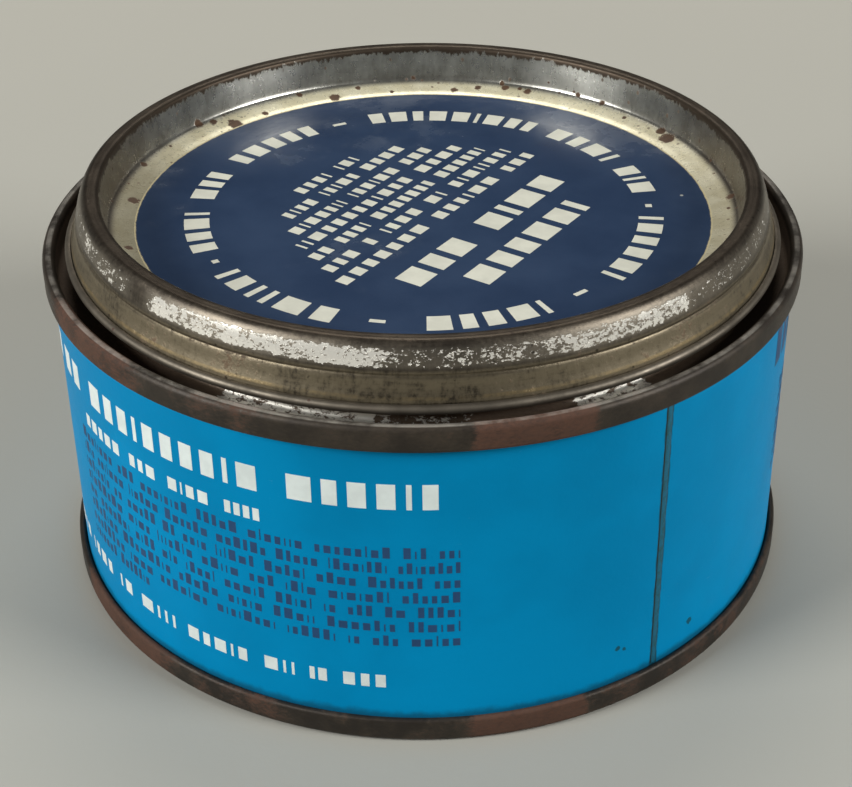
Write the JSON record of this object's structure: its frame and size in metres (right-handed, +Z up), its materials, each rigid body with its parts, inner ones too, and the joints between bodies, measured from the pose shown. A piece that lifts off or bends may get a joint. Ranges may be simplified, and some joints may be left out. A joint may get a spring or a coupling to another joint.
{
  "type": "wax tin",
  "caption": "Round tinplate paste-wax tin: double-seamed body and ends, sunk bottom, rolled mouth, and a slip lid with a deep sunk panel that lifts straight off.",
  "frame": {"origin": "centre of the circle on which the tin rests", "axes": "+Z up along the tin's axis; the side seam is at 305 degrees from +X, so -Y is the printed front"},
  "size_m": [0.1032, 0.1032, 0.0557],
  "materials": {
    "blue_litho": "satin lithographed tinplate",
    "solder": "dull wiped solder",
    "tarnished_tin": "tarnished tinplate with rust",
    "seal_compound": "dried sealing compound",
    "lid_tin": "worn tinplate with a printed panel",
    "paste_wax": "soft paste wax"
  },
  "bodies": {
    "can": {"body_wall": "blue_litho", "side_seam_solder": "solder", "bottom_end": "tarnished_tin", "bottom_seam_compound": "seal_compound", "top_ring": "tarnished_tin", "top_seam_compound": "seal_compound", "wax_cake": "paste_wax"},
    "lid": {"lid": "lid_tin"}
  },
  "joints": [
    {"name": "lid_lift", "type": "slide", "parent": "can", "child": "lid", "axis": [0, 0, 1], "range_m": [0, 0.06]}
  ]
}
